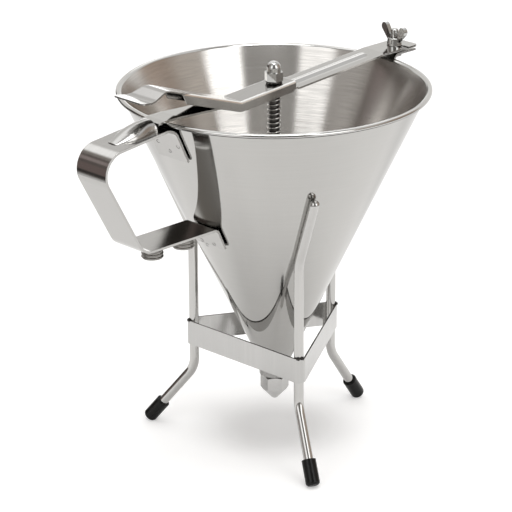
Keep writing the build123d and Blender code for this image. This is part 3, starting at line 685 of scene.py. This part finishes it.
# Studio surroundings that the metal mirrors, each painted over those before it:
# azimuth from and to, elevation from and to, soft edge in azimuth and in elevation, colour
STUDIO_BASE = (0.14, 0.125, 0.115)
STUDIO_PATCHES = [
    (-200, 200, -4, 60, 0, 12, (0.44, 0.41, 0.38)),
    (-14, 96, -12, 44, 14, 10, (0.91, 0.90, 0.88)),
    (40, 57, -14, 7, 6, 4, (2.4, 2.4, 2.4)),
    (-76, -44, -4, 38, 20, 8, (0.64, 0.58, 0.52)),
    (-44, -10, -4, 38, 20, 8, (0.47, 0.375, 0.31)),
    (-157, -106, -4, 62, 3, 10, (0.27, 0.262, 0.25)),
    (141, 173, -4, 50, 6, 10, (0.50, 0.48, 0.46)),
    (96, 138, -24, 39, 5, 8, (0.16, 0.135, 0.125)),
    (98, 114, 22, 36, 5, 5, (0.95, 0.90, 0.86)),
    (119, 131, 21, 31, 6, 7, (0.44, 0.37, 0.36)),
    (121, 141, -13, 12, 6, 6, (0.22, 0.17, 0.16)),
    (121, 138, -21, -13, 6, 5, (0.05, 0.048, 0.045)),
    (112, 134, -44, -26, 4, 6, (0.75, 0.75, 0.74)),
    (66, 114, -40, 8, 8, 8, (0.05, 0.045, 0.04)),
    (-200, 200, 56, 95, 0, 16, (0.45, 0.44, 0.43)),
    (-62, 42, 42, 62, 6, 6, (0.9, 0.9, 0.9)),
    (26, 45, 27, 42, 4, 4, (2.0, 2.0, 2.0)),
    (45, 103, 37, 62, 12, 8, (1.7, 1.7, 1.7)),
    (104, 146, 60, 82, 6, 4, (1.8, 1.8, 1.8)),
    (-106, -75, 4, 52, 3, 10, (2.5, 2.5, 2.5)),
    (-200, -157, 4, 52, 3, 10, (1.85, 1.85, 1.85)),
    (173, 200, 4, 52, 3, 10, (1.85, 1.85, 1.85)),
]
LEAST_SOFT_EDGE = 0.1

# Floor: tones, strength of the white for the camera and of the lift for mirrors
FLOOR_DARK = 0.84
FLOOR_LIGHT = 0.86
FLOOR_BACK_TONE = 0.69
FLOOR_WHITE = 0.32
FLOOR_GLOSS = 0.1

# Floor, metres: where it turns greyer, the round middle where the white is left out so that painted shadow
# deepens the real shadow, and its sides
FLOOR_BACK = (0.12, 0.26)
PAINTED_SHADOW_CENTRE = (0.0102, 0.0094, 0.0)
PAINTED_SHADOW_RADII = (0.013, 0.063)
FLOOR_LEFT = 0.42
FLOOR_RIGHT = 0.85
FLOOR_NEAR = 0.7
FLOOR_FAR = 1.2


def band_share(graph, value, low, high, edge):
    """One within a range and zero outside it, with soft edges."""
    half = max(edge, LEAST_SOFT_EDGE) / 2
    rise = graph.ramp(value, (low - half, low + half))
    fall = graph.ramp(value, (high - half, high + half), 1.0, 0.0)
    return graph.math("MULTIPLY", rise, fall)


def studio_colour(graph):
    """The patches of the surroundings by direction."""
    way = graph.add("ShaderNodeTexCoord").outputs["Generated"]
    x, y, z = graph.add("ShaderNodeSeparateXYZ", {0: way}).outputs
    to_degrees = 180 / math.pi
    azimuth = graph.math("MULTIPLY", graph.math("ARCTAN2", y, x), to_degrees)
    elevation = graph.math("MULTIPLY", graph.math("ARCSINE", z), to_degrees)
    colour = rgba(*STUDIO_BASE)
    for az_low, az_high, el_low, el_high, az_edge, el_edge, tint in STUDIO_PATCHES:
        across = band_share(graph, azimuth, az_low, az_high, az_edge)
        upward = band_share(graph, elevation, el_low, el_high, el_edge)
        colour = graph.blend(graph.math("MULTIPLY", across, upward), colour, rgba(*tint))
    return colour


def studio_world():
    """White for the camera; softboxes and darker walls for everything else."""
    world = bpy.data.worlds.new("studio")
    bpy.context.scene.world = world
    world.use_nodes = True
    graph = Graph(world.node_tree)
    surround = graph.add("ShaderNodeBackground", {"Color": studio_colour(graph), "Strength": 1.0})
    white = graph.add("ShaderNodeBackground", {"Color": grey(1.0), "Strength": 1.0})
    seen = graph.add("ShaderNodeLightPath").outputs["Is Camera Ray"]
    mix = graph.add("ShaderNodeMixShader", {0: seen, 1: surround.outputs[0], 2: white.outputs[0]})
    graph.close(mix, "ShaderNodeOutputWorld")


def floor_lift(graph):
    """White for the camera around a soft round middle of painted shadow, and a little light for mirrors."""
    path = graph.add("ShaderNodeLightPath").outputs
    # Painted shadow: the white grows from nothing at the middle to full strength outside it
    white = graph.ramp(graph.measure("DISTANCE", PAINTED_SHADOW_CENTRE), PAINTED_SHADOW_RADII, 0.0, FLOOR_WHITE)
    seen = graph.math("MULTIPLY", path["Is Camera Ray"], white)
    mirrored = graph.math("MULTIPLY", path["Is Glossy Ray"], FLOOR_GLOSS)
    strength = graph.math("ADD", seen, mirrored)
    return graph.add("ShaderNodeEmission", {"Color": grey(1.0), "Strength": strength})


def floor_material(away):
    """Matt and pale, greyer behind the object, with a lift towards white that is left out in a painted shadow
    at the middle.
    """
    material, graph = new_material("pale_floor")
    grains = graph.noise(graph.place(), *FLOOR_NOISE)
    colour = graph.blend(grains, grey(FLOOR_DARK), grey(FLOOR_LIGHT))
    back = graph.ramp(graph.measure("DOT_PRODUCT", away), FLOOR_BACK)
    colour = graph.blend(back, colour, grey(FLOOR_BACK_TONE))
    matt = graph.add("ShaderNodeBsdfDiffuse", {"Color": colour})
    lift = floor_lift(graph)
    graph.close(graph.add("ShaderNodeAddShader", {0: matt.outputs[0], 1: lift.outputs[0]}))
    return material


def studio_floor():
    """Pale floor that keeps the shadow, deepened by a painted shadow at its middle, and shows white
    elsewhere.
    """
    right = Vector(CAMERA_RIGHT)
    right.z = 0.0
    right.normalize()
    away = Vector((-right.y, right.x, 0.0))
    sides = (-FLOOR_LEFT, FLOOR_RIGHT, FLOOR_RIGHT, -FLOOR_LEFT)
    depths = (-FLOOR_NEAR, -FLOOR_NEAR, FLOOR_FAR, FLOOR_FAR)

    def build(form):
        form.faces.new([form.verts.new(right * side + away * depth) for side, depth in zip(sides, depths)])

    floor = mesh_piece("studio_floor", build, [floor_material(away)])


def studio_lamp(name, place, aim, size, power):
    """A square soft lamp."""
    lamp = bpy.data.lights.new(name, "AREA")
    lamp.shape = "SQUARE"
    lamp.size = size
    lamp.energy = power
    holder = bpy.data.objects.new(name, lamp)
    holder.location = place
    holder.rotation_euler = (Vector(aim) - Vector(place)).to_track_quat("-Z", "Y").to_euler()
    bpy.context.scene.collection.objects.link(holder)


def photo_camera():
    """Camera at the photograph's place."""
    data = bpy.data.cameras.new("photo_camera")
    data.sensor_width = CAMERA_SENSOR
    data.lens = CAMERA_LENS
    data.clip_start = CAMERA_CLIP_START
    data.clip_end = CAMERA_CLIP_END
    camera = bpy.data.objects.new("photo_camera", data)
    right = Vector(CAMERA_RIGHT)
    up = Vector(CAMERA_UP)
    back = right.cross(up)
    turn = Matrix((right, up, back)).transposed().to_4x4()
    camera.matrix_world = Matrix.Translation(CAMERA_PLACE) @ turn
    bpy.context.scene.collection.objects.link(camera)
    bpy.context.scene.camera = camera


studio_world()
studio_floor()
studio_lamp("top_softbox", LAMP_PLACE, LAMP_AIM, LAMP_SIZE, LAMP_POWER)
photo_camera()
bpy.context.scene.view_settings.view_transform = "Standard"
